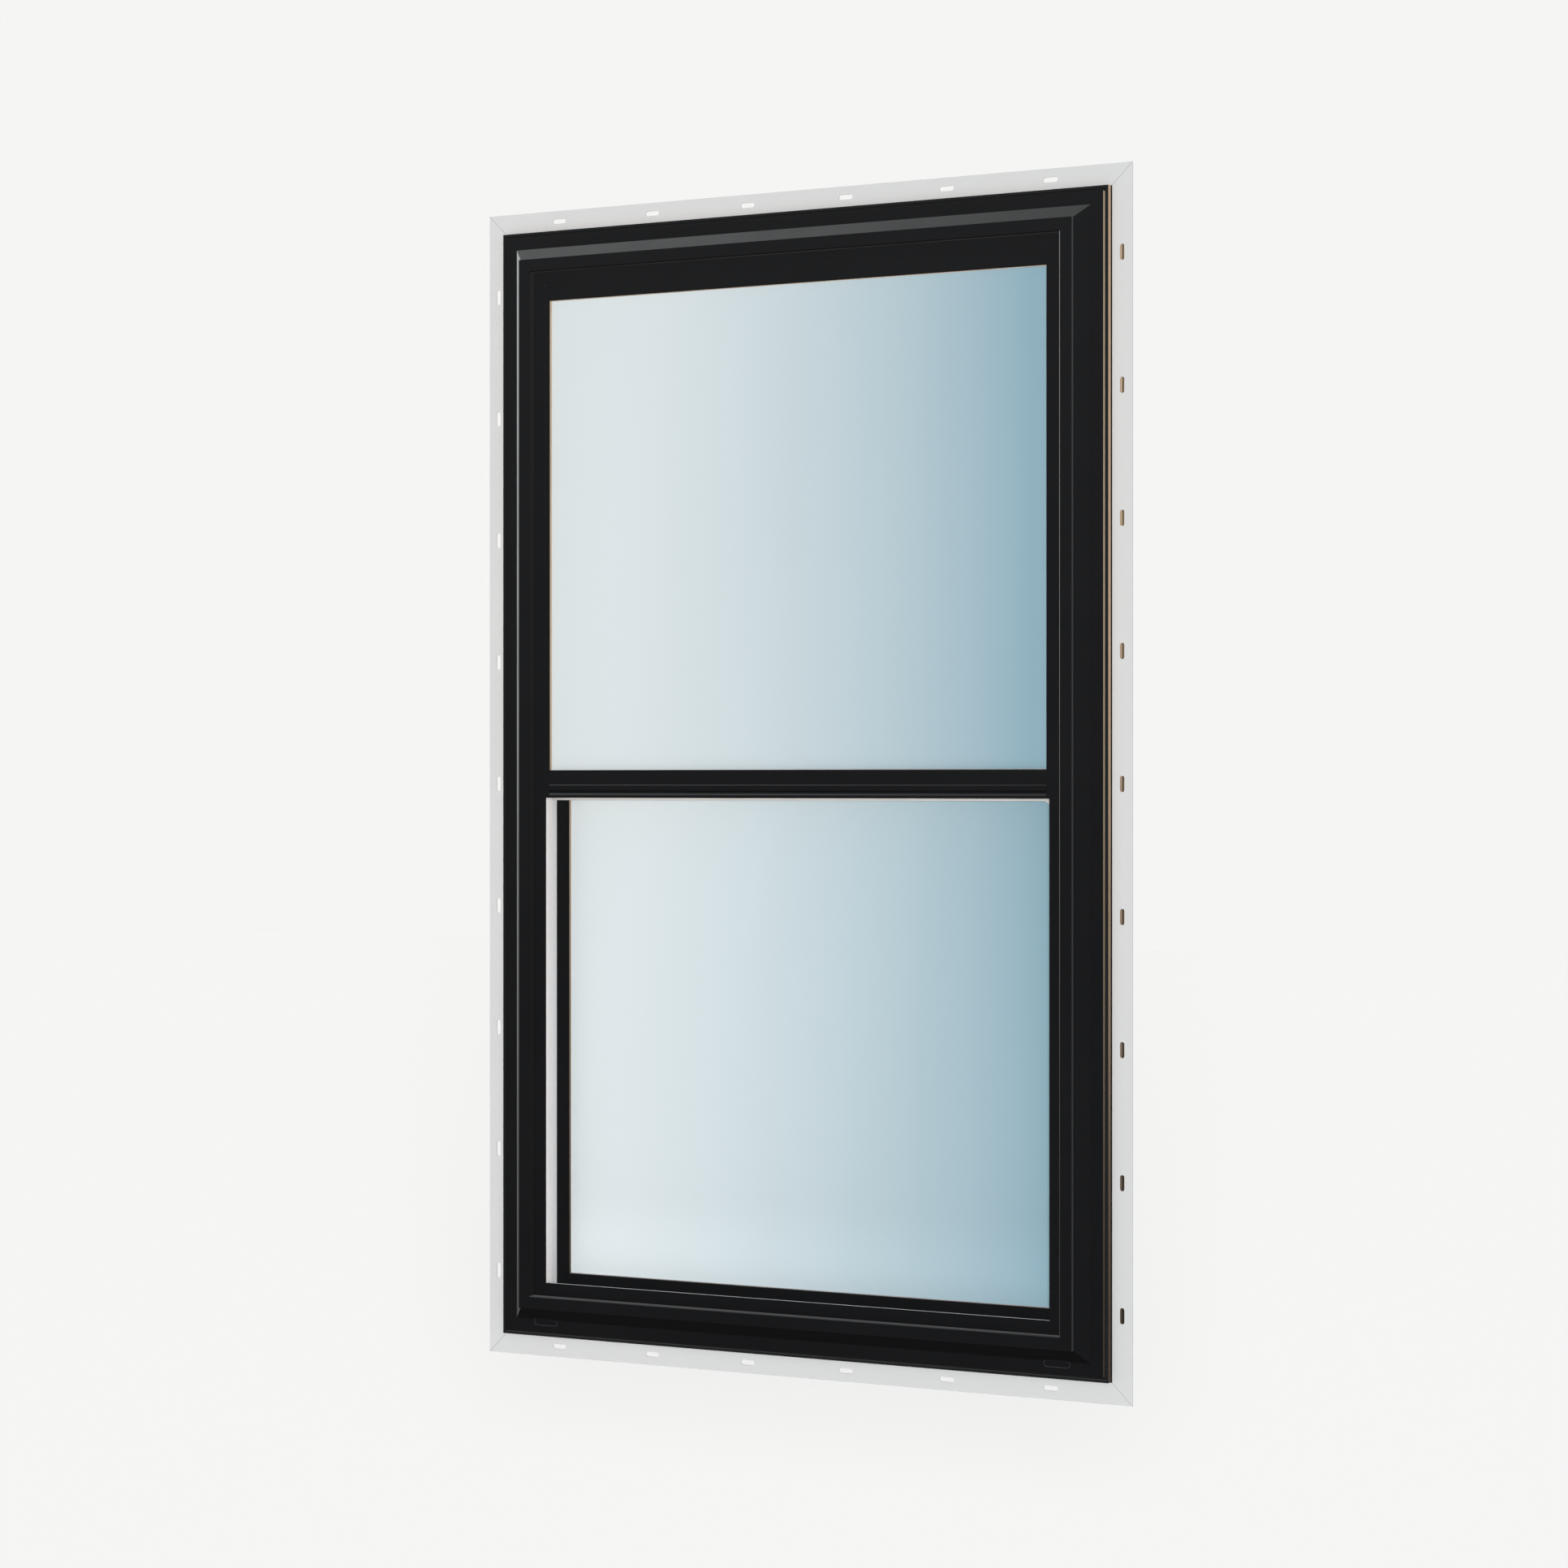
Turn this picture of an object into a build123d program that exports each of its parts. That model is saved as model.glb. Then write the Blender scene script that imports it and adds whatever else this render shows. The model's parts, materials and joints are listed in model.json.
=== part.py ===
from build123d import *
from math import radians, tan
import os

# Double hung window: aluminium-clad wood frame with a vinyl nailing fin and two sliding sashes.
# Millimetres, +Z up, +X to the right seen from outside, outdoors towards -Y.
# The origin lies at mid-width on the back face of the sill fin, on its nail line.

# Overall frame, and the fin around it
frame_width = 901.7
frame_height = 1511.3
fin_width = 28.6
fin_thickness = 1.6
nail_line = 14.3
fin_tongue = 7.0
tongue_thickness = 1.2
kerf_width = 4.4

# Nailing slots
slot_length = 20.6
slot_width = 6.4
slot_end_margin = 112.8
head_slots = 6
jamb_slots = 9

# Face of the aluminium cladding, stepping inward from the outer wall
clad_wall = 1.5
flange_height = 13.6
rib_width = 3.2
groove_width = 3.6
groove_depth = 5.6
flange_width = 16.3
bevel_run = 17.0
nose_step = 5.0
nose_width = 17.4
nose_chamfer = 1.2
nose_return = 11.5
jamb_leg = 18.4
head_leg = 16.9
sill_leg = 17.7

# Wood frame behind the cladding
jamb_thickness = 20.0
clip_groove_setback = 34.0
clip_groove_width = 4.4
clip_groove_depth = 6.0
sill_slope = 8.0
sill_cover_wall = 1.5
sill_cover_upturn = 17.5
stool_height = 40.0

# Vinyl liner with the tracks of both sashes
track_base = 47.0
liner_wall = 2.0
parting_gap = 18.9
parting_rib_width = 12.3
parting_rib_height = 14.7
rib_shoulder_height = 6.5

# Wood stop that holds the lower sash indoors
stop_width = 7.0
stop_height = 34.0
stop_round = 3.0

# Sashes
sash_depth = 31.8
glazing_edge = 80.8
top_rail_edge = 96.6
bottom_rail_edge = 82.3
check_rail_height = 37.3
check_rail_reach = 9.0
sash_lip = 9.0
ovolo = 5.0

# Face of the upper check rail, measured up from its bottom
band_height = 17.7
band_step = 0.8
drip_groove_lift = 3.6
drip_groove_width = 6.7
drip_groove_depth = 1.5
drip_slope = 2.5

# Insulating glass
glass_setback = 6.6
pane = 3.0
air_space = 10.0
glass_bite = 9.0
spacer_width = 7.0
spacer_inset = 2.0

# Weatherstrips
check_strip_drop = 3.4
check_strip_depth = 5.6

# Weep slots in the sill flange
weep_length = 36.0
weep_height = 8.5
weep_setback = 19.5
weep_end_margin = 69.85
weep_cover_wall = 1.0

# Sash lock, keeper and tilt latches
lock_length = 62.0
lock_width = 24.0
lock_corner = 6.0
lock_base = 4.0
cam_radius = 11.0
cam_height = 9.0
hook_reach = 17.0
hook_width = 20.0
hook_thickness = 3.0
hook_slot = 26.0
lever_length = 34.0
lever_width = 9.0
lever_thickness = 5.0
keeper_length = 52.0
keeper_width = 15.0
keeper_height = 11.0
keeper_wall = 7.0
latch_length = 58.0
latch_width = 15.0
latch_height = 4.5
latch_end_margin = 4.0
thumb_pad_length = 12.0
thumb_pad_rise = 2.5
edge_round = 1.5

# Clearances
seat = 0.3
sash_play = 0.8
hook_clearance = 0.6
lock_gap = 0.8

# Places along the depth, outdoors first
flange_front = -flange_height
core_front = flange_front + clad_wall
nose_outer = rib_width + groove_width + flange_width + bevel_run
nose_inner = nose_outer + nose_width
nose_front = flange_front - bevel_run - nose_step
leg_front = nose_front + nose_return
upper_front = leg_front + clad_wall + seat
upper_back = upper_front + sash_depth
lower_front = upper_back + parting_gap
lower_back = lower_front + sash_depth
liner_back = lower_back + seat
jamb_depth = liner_back + stop_width
lock_centre = lower_front - check_rail_reach + lock_gap + lock_width / 2

# Places across the width and up the height
half_width = frame_width / 2
weep_offset = half_width - weep_end_margin
frame_bottom = fin_width - nail_line
mid_height = frame_bottom + frame_height / 2
check_top = mid_height + check_rail_height / 2
check_bottom = mid_height - check_rail_height / 2
sash_edge = track_base + sash_play
stile_half = half_width - sash_edge
glazing_half = half_width - glazing_edge
sill_rise = tan(radians(sill_slope))
upper_top = frame_bottom + frame_height - sash_edge
upper_glazing_top = frame_bottom + frame_height - top_rail_edge
lower_glazing_bottom = frame_bottom + bottom_rail_edge


def sill_top(depth):
    """Height of the sloping wood sill above the bottom of the frame."""
    return jamb_thickness + depth * sill_rise


def panel(inner_start, inner_end, depth_start, depth_end):
    """Rectangle of a cross-section, by its distances inward and its depths."""
    centre = Pos((inner_start + inner_end) / 2, (depth_start + depth_end) / 2)
    return centre * Rectangle(inner_end - inner_start, depth_end - depth_start)


def outline(*points):
    return make_face(Polyline(*points, close=True))


def sheet(wall, *points):
    """Folded sheet of even thickness, lying to the left of the line through the points."""
    path = [Vector(*point) for point in points]
    runs = [(end - start).normalized() for start, end in zip(path, path[1:])]
    sides = [Vector(-run.Y, run.X) for run in runs]
    back = []
    for point, before, after in zip(path, sides[:1] + sides, sides + sides[-1:]):
        back.append(point + (before + after) * (wall / (1 + before.dot(after))))
    return outline(*path, *reversed(back))


def mitred(profile, length):
    """Member of the given length, cut at 45 degrees from its outer corners at both ends."""
    box = profile.bounding_box()
    low, high = box.min.X, box.max.X
    bar = Pos(0, 0, low) * extrude(profile, length - 2 * low, dir=(0, 0, 1))
    shape = outline((low, low), (high, high), (high, length - high), (low, length - low))
    cutter = extrude(Plane.XZ * shape, box.size.Y + abs(box.min.Y) + abs(box.max.Y), both=True)
    return bar & cutter


def squared(profile, start, end):
    """Member with square ends, from start to end along its length."""
    return Pos(0, 0, start) * extrude(profile, end - start, dir=(0, 0, 1))


def on_left(member):
    return Pos(-half_width, 0, frame_bottom) * member


def on_right(member):
    return on_left(member).mirror(Plane.YZ)


def on_sill(member):
    return Pos(half_width, 0, frame_bottom) * Rot(0, -90, 0) * member


def on_head(member):
    return on_sill(member).mirror(Plane.XY.offset(mid_height))


def block(x_range, y_range, z_range):
    """Box between two corners."""
    size = [high - low for low, high in (x_range, y_range, z_range)]
    centre = [(high + low) / 2 for low, high in (x_range, y_range, z_range)]
    return Pos(*centre) * Box(*size)


def fin_profile():
    tongue_back = -(fin_thickness - tongue_thickness)
    strip = panel(-fin_width, 0, -fin_thickness, 0)
    tongue = panel(0, fin_tongue, -fin_thickness, tongue_back)
    return strip + tongue


def slotted_fin(length, slots):
    """Fin with nailing slots evenly spread between its end margins."""
    fin = mitred(fin_profile(), length)
    first = slot_end_margin - fin_width
    pitch = (length - 2 * first) / (slots - 1)
    hole = extrude(Plane.XZ * SlotOverall(slot_length, slot_width, 90), 2 * fin_thickness, both=True)
    return fin - [Pos(nail_line - fin_width, 0, first + index * pitch) * hole for index in range(slots)]


def core_grooves():
    """Accessory groove in front, kerf for the fin's tongue, and clip groove behind the fin."""
    accessory = panel(rib_width, rib_width + groove_width, core_front, core_front + groove_depth)
    kerf_back = -(fin_thickness - tongue_thickness) + seat
    kerf = panel(0, fin_tongue + seat, kerf_back - kerf_width, kerf_back)
    clip = panel(0, clip_groove_depth, clip_groove_setback, clip_groove_setback + clip_groove_width)
    return accessory + kerf + clip


def jamb_core():
    """Wood jamb with the blind stop that backs the cladding."""
    blind_stop = panel(0, track_base - liner_wall - seat, core_front, 0)
    jamb = panel(0, jamb_thickness, 0, jamb_depth)
    return blind_stop + jamb - core_grooves()


def sill_core():
    """Wood sill: slope outdoors, level stool indoors."""
    body = outline(
        (0, core_front),
        (sill_top(core_front), core_front),
        (sill_top(liner_back), liner_back),
        (stool_height, liner_back),
        (stool_height, jamb_depth),
        (0, jamb_depth),
    )
    return body - core_grooves()


def make_sill():
    """Sill mitred into the jambs where they meet, and butted against them above."""
    bar = squared(sill_core(), 0, frame_width)
    shape = outline(
        (0, 0),
        (jamb_thickness, jamb_thickness),
        (stool_height, jamb_thickness),
        (stool_height, frame_width - jamb_thickness),
        (jamb_thickness, frame_width - jamb_thickness),
        (0, frame_width),
    )
    cutter = extrude(Plane.XZ * shape, jamb_depth + flange_height, both=True)
    return on_sill(bar & cutter)


def cladding_profile(leg):
    """Thin extruded face: flange, bevel, step, nosing, return and the leg in front of the sash."""
    return sheet(
        clad_wall,
        (rib_width + groove_width, flange_front),
        (nose_outer - bevel_run, flange_front),
        (nose_outer, flange_front - bevel_run),
        (nose_outer, nose_front),
        (nose_inner - nose_chamfer, nose_front),
        (nose_inner, nose_front + nose_chamfer),
        (nose_inner, leg_front),
        (nose_inner + leg, leg_front),
    )


def make_sill_cladding():
    """Sill cladding with two rounded weep slots low on its flange."""
    part = on_sill(mitred(cladding_profile(sill_leg), frame_width))
    weep = extrude(Plane.XZ * SlotOverall(weep_length, weep_height), flange_height, both=True)
    for side in (-1, 1):
        part -= Pos(side * weep_offset, flange_front, frame_bottom + weep_setback) * weep
    return part


def make_weep_cover(side):
    """Cover flush inside a weep slot, over the wood behind it."""
    length = weep_length - 2 * seat
    height = weep_height - 2 * seat
    cover = extrude(Plane.XZ * SlotOverall(length, height), weep_cover_wall)
    return Pos(side * weep_offset, core_front, frame_bottom + weep_setback) * cover


def liner_profile():
    """Hollow vinyl liner: tracks of both sashes, shouldered parting rib between them, and a front lip."""
    rib_back = lower_front - seat
    rib_front = rib_back - parting_rib_width
    base = panel(jamb_thickness, track_base, seat, liner_back)
    shoulder = panel(track_base, track_base + rib_shoulder_height, upper_back + seat, rib_back)
    rib = panel(track_base, track_base + parting_rib_height, rib_front, rib_back)
    lip = panel(track_base - liner_wall, track_base, upper_front, seat)
    hollow = panel(
        jamb_thickness + liner_wall, track_base - liner_wall, seat + liner_wall, liner_back - liner_wall
    )
    rib_hollow = panel(
        track_base - liner_wall,
        track_base + parting_rib_height - liner_wall,
        rib_front + liner_wall,
        rib_back - liner_wall,
    )
    return base + shoulder + rib + lip - hollow - rib_hollow


def sill_wedge():
    """Everything below the sloping sill cover, for trimming what stands on it."""
    lift = sill_cover_wall + seat
    top = outline(
        (-frame_height, nose_front),
        (sill_top(nose_front) + lift, nose_front),
        (sill_top(jamb_depth) + lift, jamb_depth),
        (-frame_height, jamb_depth),
    )
    return on_sill(squared(top, 0, frame_width))


def make_jamb_liner():
    return on_left(mitred(liner_profile(), frame_height)) - sill_wedge()


def stop_profile():
    """Wood stop with a rounded edge towards the room."""
    section = panel(jamb_thickness, jamb_thickness + stop_height, liner_back, jamb_depth)
    edge = section.vertices().group_by(Axis.Y)[-1].sort_by(Axis.X)[-1]
    return fillet(edge, stop_round)


def make_interior_stop():
    stop = on_left(mitred(stop_profile(), frame_height))
    foot = block((-half_width, half_width), (-jamb_depth, jamb_depth), (-frame_height, frame_bottom + stool_height))
    return stop - foot


def make_sill_cover():
    """Folded metal floor of the sill, with an upturned edge behind the cladding."""
    foot = sill_top(core_front)
    floor = sheet(
        sill_cover_wall,
        (sill_top(liner_back), liner_back),
        (foot, core_front),
        (foot + sill_cover_upturn, core_front),
    )
    margin = track_base + seat
    return on_sill(squared(floor, margin, frame_width - margin))


def sash_bar(edge, opening, body_front, back, glass_plane, face=None):
    """Wood sash member, rounded indoors, grooved for the glass and rebated for its metal face."""
    body = panel(edge, opening, body_front, back)
    corner = body.vertices().group_by(Axis.Y)[-1].sort_by(Axis.X)[-1]
    body = fillet(corner, ovolo)
    groove_back = glass_plane + 2 * pane + air_space + seat
    body -= panel(opening - glass_bite - seat, opening, glass_plane - seat, groove_back)
    if face is not None:
        body -= face
    return body


def sash_face(edge, opening, front):
    """Metal face of a sash member, returned around its outer edge."""
    return sheet(clad_wall, (edge, front + sash_lip), (edge, front), (opening, front))


def check_face(front):
    """Face of the upper check rail: proud band with a drip groove, chamfered back to a flush bead above."""
    proud = front - band_step
    groove_high = drip_groove_lift + drip_groove_width
    skin = outline(
        (0, proud),
        (drip_groove_lift, proud),
        (drip_groove_lift + drip_slope, proud + drip_groove_depth),
        (groove_high - drip_slope, proud + drip_groove_depth),
        (groove_high, proud),
        (band_height - band_step, proud),
        (band_height, front),
        (check_rail_height, front),
        (check_rail_height, front + clad_wall),
        (0, front + clad_wall),
    )
    return skin + panel(0, clad_wall, front, front + sash_lip)


def upright(profile, low, high):
    """Left stile of a sash, from its lowest to its highest point."""
    return on_left(squared(profile, low - frame_bottom, high - frame_bottom))


def crosswise(profile, height, reach):
    """Rail rising from the given height, as wide as twice the reach."""
    bar = squared(profile, half_width - reach, half_width + reach)
    return Pos(0, 0, height - frame_bottom) * on_sill(bar)


def coped(rail, stile_section):
    """Rail cut at one end to the shape of the stile there, turned round and cut the same way again."""
    post = upright(stile_section, -frame_height, 2 * frame_height)
    return (rail - post).mirror(Plane.YZ) - post


def turned_down(part, height):
    """The same rail, upside down about the given height."""
    return part.mirror(Plane.XY.offset(height))


def make_glass(name, front, low, high):
    """Two panes and their spacer, held by the grooves of the sash."""
    half = glazing_half + glass_bite
    bottom = low - glass_bite
    top = high + glass_bite
    outer_front = front + glass_setback
    inner_front = outer_front + pane + air_space
    middle = Pos(0, outer_front + pane, (bottom + top) / 2)
    ring_width = 2 * (half - spacer_inset)
    ring_height = top - bottom - 2 * spacer_inset
    ring = Rectangle(ring_width, ring_height)
    ring -= Rectangle(ring_width - 2 * spacer_width, ring_height - 2 * spacer_width)
    return {
        name + "_outer_pane": block((-half, half), (outer_front, outer_front + pane), (bottom, top)),
        name + "_inner_pane": block((-half, half), (inner_front, inner_front + pane), (bottom, top)),
        name + "_spacer": middle * extrude(Plane.XZ * ring, air_space, dir=(0, 1, 0)),
    }


def make_upper_sash():
    front, back = upper_front, upper_back
    glass_plane = front + glass_setback
    rail_height = upper_top - upper_glazing_top
    stile_face = sash_face(sash_edge, glazing_edge, front)
    rail_face = sash_face(0, rail_height, front)
    meeting_face = check_face(front)
    stile_bar = sash_bar(sash_edge, glazing_edge, front, back, glass_plane, stile_face)
    rail_bar = sash_bar(0, rail_height, front, back, glass_plane, rail_face)
    meeting_back = back + check_rail_reach
    meeting_bar = sash_bar(0, check_rail_height, front + clad_wall, meeting_back, glass_plane, meeting_face)
    stile = upright(stile_bar, check_bottom, upper_top)
    stile_skin = upright(stile_face, check_bottom, upper_top)
    post = stile_bar + stile_face
    top_rail = turned_down(crosswise(rail_bar, upper_top, glazing_half + ovolo), upper_top)
    check_rail = crosswise(meeting_bar, check_bottom, glazing_half + ovolo)
    nodes = {
        "upper_stile_left": stile,
        "upper_stile_right": stile.mirror(Plane.YZ),
        "upper_stile_cladding_left": stile_skin,
        "upper_stile_cladding_right": stile_skin.mirror(Plane.YZ),
        "upper_top_rail": coped(top_rail, post),
        "upper_check_rail": coped(check_rail, post),
        "upper_top_rail_cladding": turned_down(crosswise(rail_face, upper_top, glazing_half), upper_top),
        "upper_check_rail_cladding": crosswise(meeting_face, check_bottom, glazing_half),
    }
    nodes.update(make_glass("upper", front, check_top, upper_glazing_top))
    return nodes


def make_lower_sash():
    front, back = lower_front, lower_back
    glass_plane = front + glass_setback
    foot = frame_bottom + sill_top(front)
    rail_height = lower_glazing_bottom - foot
    stile_face = sash_face(sash_edge, glazing_edge, front)
    rail_face = panel(0, rail_height, front, front + clad_wall)
    stile_bar = sash_bar(sash_edge, glazing_edge, front, back, glass_plane, stile_face)
    rail_bar = sash_bar(0, rail_height, front, back, glass_plane, rail_face)
    meeting_bar = sash_bar(0, check_rail_height, front - check_rail_reach, back, glass_plane)
    stile = upright(stile_bar, foot, check_top) - sill_wedge()
    stile_skin = upright(stile_face, foot, check_top) - sill_wedge()
    post = stile_bar + stile_face
    bottom_rail = crosswise(rail_bar, foot, glazing_half + ovolo) - sill_wedge()
    check_rail = turned_down(crosswise(meeting_bar, check_top, glazing_half + ovolo), check_top)
    nodes = {
        "lower_stile_left": stile,
        "lower_stile_right": stile.mirror(Plane.YZ),
        "lower_stile_cladding_left": stile_skin,
        "lower_stile_cladding_right": stile_skin.mirror(Plane.YZ),
        "lower_bottom_rail": coped(bottom_rail, post),
        "lower_check_rail": coped(check_rail, post),
        "lower_bottom_rail_cladding": crosswise(rail_face, foot, glazing_half) - sill_wedge(),
    }
    nodes.update(make_glass("lower", front, lower_glazing_bottom, check_bottom))
    return nodes


def make_weatherstrip():
    """Strip under the upper check rail that closes the gap between the sashes."""
    half = half_width - track_base - parting_rib_height - sash_play
    rail_back = upper_back + check_rail_reach
    depths = (rail_back - check_strip_depth, rail_back)
    return block((-half, half), depths, (check_bottom - check_strip_drop, check_bottom))


def make_sash_lock():
    """Cam lock on the lower check rail, turned shut, with its hook inside the keeper."""
    plate = extrude(RectangleRounded(lock_length, lock_width, lock_corner), lock_base)
    hook_shape = Circle(hook_reach) & Pos(0, -hook_reach / 2) * Rectangle(hook_width, hook_reach)
    hook = Pos(0, 0, lock_base) * extrude(hook_shape, hook_thickness)
    housing = Pos(0, 0, lock_base) * extrude(Circle(cam_radius), cam_height)
    housing = fillet(housing.faces().sort_by(Axis.Z)[-1].edges(), edge_round)
    lever_shape = Pos(lever_length / 2, 0) * SlotCenterToCenter(lever_length, lever_width)
    lever = Pos(0, 0, lock_base + cam_height - lever_thickness) * extrude(lever_shape, lever_thickness)
    return Pos(0, lock_centre, check_top) * (plate + hook + housing + lever)


def make_lock_keeper():
    """Keeper on the upper check rail, open towards the hook of the lock."""
    body = extrude(RectangleRounded(keeper_length, keeper_width, edge_round), keeper_height)
    mouth_height = hook_thickness + 2 * hook_clearance
    mouth_middle = lock_base + hook_thickness / 2
    mouth = Pos(0, keeper_wall, mouth_middle) * Box(hook_slot, keeper_width, mouth_height)
    return Pos(0, upper_back + check_rail_reach - keeper_width / 2, check_top) * (body - mouth)


def make_tilt_latch(side):
    """Sliding tilt latch on top of the lower sash, with a raised thumb pad."""
    plate = extrude(RectangleRounded(latch_length, latch_width, edge_round), latch_height)
    pad_x = -side * (latch_length / 2 - thumb_pad_length)
    pad = Pos(pad_x, 0, latch_height) * extrude(
        RectangleRounded(thumb_pad_length, latch_width - 2 * edge_round, edge_round), thumb_pad_rise
    )
    offset_x = side * (stile_half - latch_end_margin - latch_length / 2)
    return Pos(offset_x, lower_front + sash_depth / 2, check_top) * (plate + pad)


def build_nodes():
    fin_side = slotted_fin(frame_height, jamb_slots)
    fin_end = slotted_fin(frame_width, head_slots)
    jamb = mitred(jamb_core(), frame_height)
    clad_side = mitred(cladding_profile(jamb_leg), frame_height)
    liner = make_jamb_liner()
    stop = make_interior_stop()
    nodes = {
        "nail_fin_left": on_left(fin_side),
        "nail_fin_right": on_right(fin_side),
        "nail_fin_head": on_head(fin_end),
        "nail_fin_sill": on_sill(fin_end),
        "jamb_left": on_left(jamb),
        "jamb_right": on_right(jamb),
        "head_jamb": on_head(mitred(jamb_core(), frame_width)),
        "sill": make_sill(),
        "jamb_cladding_left": on_left(clad_side),
        "jamb_cladding_right": on_right(clad_side),
        "head_cladding": on_head(mitred(cladding_profile(head_leg), frame_width)),
        "sill_cladding": make_sill_cladding(),
        "sill_cover": make_sill_cover(),
        "weep_cover_left": make_weep_cover(-1),
        "weep_cover_right": make_weep_cover(1),
        "jamb_liner_left": liner,
        "jamb_liner_right": liner.mirror(Plane.YZ),
        "head_liner": on_head(mitred(liner_profile(), frame_width)),
        "interior_stop_left": stop,
        "interior_stop_right": stop.mirror(Plane.YZ),
        "head_stop": on_head(mitred(stop_profile(), frame_width)),
    }
    nodes.update(make_upper_sash())
    nodes.update(make_lower_sash())
    nodes["check_rail_weatherstrip"] = make_weatherstrip()
    nodes["sash_lock"] = make_sash_lock()
    nodes["lock_keeper"] = make_lock_keeper()
    nodes["tilt_latch_left"] = make_tilt_latch(-1)
    nodes["tilt_latch_right"] = make_tilt_latch(1)
    return nodes


os.makedirs("parts", exist_ok=True)
for node_name, solid in build_nodes().items():
    export_step(solid, "parts/" + node_name + ".step")
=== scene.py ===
import json
import math

import bmesh
import bpy
from mathutils import Matrix, Vector

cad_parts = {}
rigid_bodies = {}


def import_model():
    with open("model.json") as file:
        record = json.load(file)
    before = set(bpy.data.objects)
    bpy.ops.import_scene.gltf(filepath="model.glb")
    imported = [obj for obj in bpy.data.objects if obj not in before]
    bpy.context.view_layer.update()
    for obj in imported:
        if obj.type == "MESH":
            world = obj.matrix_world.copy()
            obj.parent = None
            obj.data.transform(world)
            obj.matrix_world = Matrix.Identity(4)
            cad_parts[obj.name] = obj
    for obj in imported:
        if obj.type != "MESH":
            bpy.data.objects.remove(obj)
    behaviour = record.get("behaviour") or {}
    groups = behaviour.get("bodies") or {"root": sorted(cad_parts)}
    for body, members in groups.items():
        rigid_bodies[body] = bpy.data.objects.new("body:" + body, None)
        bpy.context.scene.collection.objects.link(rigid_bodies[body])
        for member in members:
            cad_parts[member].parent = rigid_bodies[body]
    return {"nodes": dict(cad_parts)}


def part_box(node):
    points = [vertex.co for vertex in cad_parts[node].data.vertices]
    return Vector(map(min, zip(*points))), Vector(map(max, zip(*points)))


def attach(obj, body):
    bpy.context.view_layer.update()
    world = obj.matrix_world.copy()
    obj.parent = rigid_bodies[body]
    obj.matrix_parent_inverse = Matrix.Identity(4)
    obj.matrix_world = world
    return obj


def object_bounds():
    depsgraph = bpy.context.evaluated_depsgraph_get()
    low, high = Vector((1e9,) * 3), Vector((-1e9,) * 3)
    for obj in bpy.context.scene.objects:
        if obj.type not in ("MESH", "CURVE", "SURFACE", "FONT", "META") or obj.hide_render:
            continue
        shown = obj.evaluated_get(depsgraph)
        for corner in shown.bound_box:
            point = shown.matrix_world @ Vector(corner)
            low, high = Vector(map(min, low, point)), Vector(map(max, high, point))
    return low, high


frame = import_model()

# Double hung window seen from outdoors. Metres, +Z up, outdoors towards -Y.

CAD_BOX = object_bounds()
NODES = frame["nodes"]
SIDES = (("left", -1), ("right", 1))
MID_HEIGHT = (CAD_BOX[0].z + CAD_BOX[1].z) / 2
FIN_HALF_WIDTH = CAD_BOX[1].x
FIN_HALF_HEIGHT = (CAD_BOX[1].z - CAD_BOX[0].z) / 2
FIN_WIDTH = FIN_HALF_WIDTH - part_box("jamb_right")[1].x

# Camera of the photograph, which is 1932 pixels wide and high
PHOTO_SIDE = 1932
FOCAL_PIXELS = 4516.2
SENSOR = 36.0
CAMERA_AZIMUTH = 28.1
CAMERA_OFFSET = Vector((2.2668, -4.2812, 0.0))
CAMERA_REACH = 200.0

# Floor and plain background
FLOOR_DROP = 0.9
FLOOR_SIZE = 60.0
FLOOR_COLOUR = 0.8
BACKGROUND = (0.913, 0.913, 0.896)

# Lamps, and the even light of the studio with its brighter sides
KEY_LIFT = 0.05
KEY_PLACE = Vector((2.27, -4.28, MID_HEIGHT + KEY_LIFT))
KEY_LEVEL = 1.83
KEY_RADIUS = 0.25
BACK_LEVEL = 1.5
BACK_AIM = Vector((0.45, -0.75, -0.48)).normalized()
BACK_SPREAD = 20.0
WHITE = (1.0, 1.0, 1.0)
FILL = 0.30
SIDE_GLOW = 1.0
SIDE_SPAN = (0.80, 0.95)
SIDE_ON_FLOOR = 0.05

# Studio as shiny surfaces see it: from and to which direction each part changes, and its level at both
SHINE_TINT = (0.97, 0.99, 1.0)
SHINE_BELOW = (-0.9, 0.0, 0.02, 0.10)
SHINE_ABOVE = (0.0, 0.3, 0.0, 0.22)
SHINE_TOP = (0.35, 0.85, 0.0, 0.66)
TOP_ACROSS = (-0.65, -0.25, 2.0, 0.0)
LEFT_ACROSS = (-0.72, -1.0, 0.0, 7.0)
LEFT_BEHIND = (0.05, 0.30)
LEFT_RISE = (-0.3, 0.3)
LEFT_RISE_POWER = 2.0

# Usual range of a noise, and the detail of the coarser ones
NOISE_SPAN = (0.3, 0.7)
MORE_DETAIL = 3.0

# Sockets of a Mix node for its two colours and the result
MIX_FIRST = 6
MIX_SECOND = 7
MIX_RESULT = 2

# How far a face has to point in a direction to count as turned that way
TURNED = 0.5
TURNED_FULLY = 0.9


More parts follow.
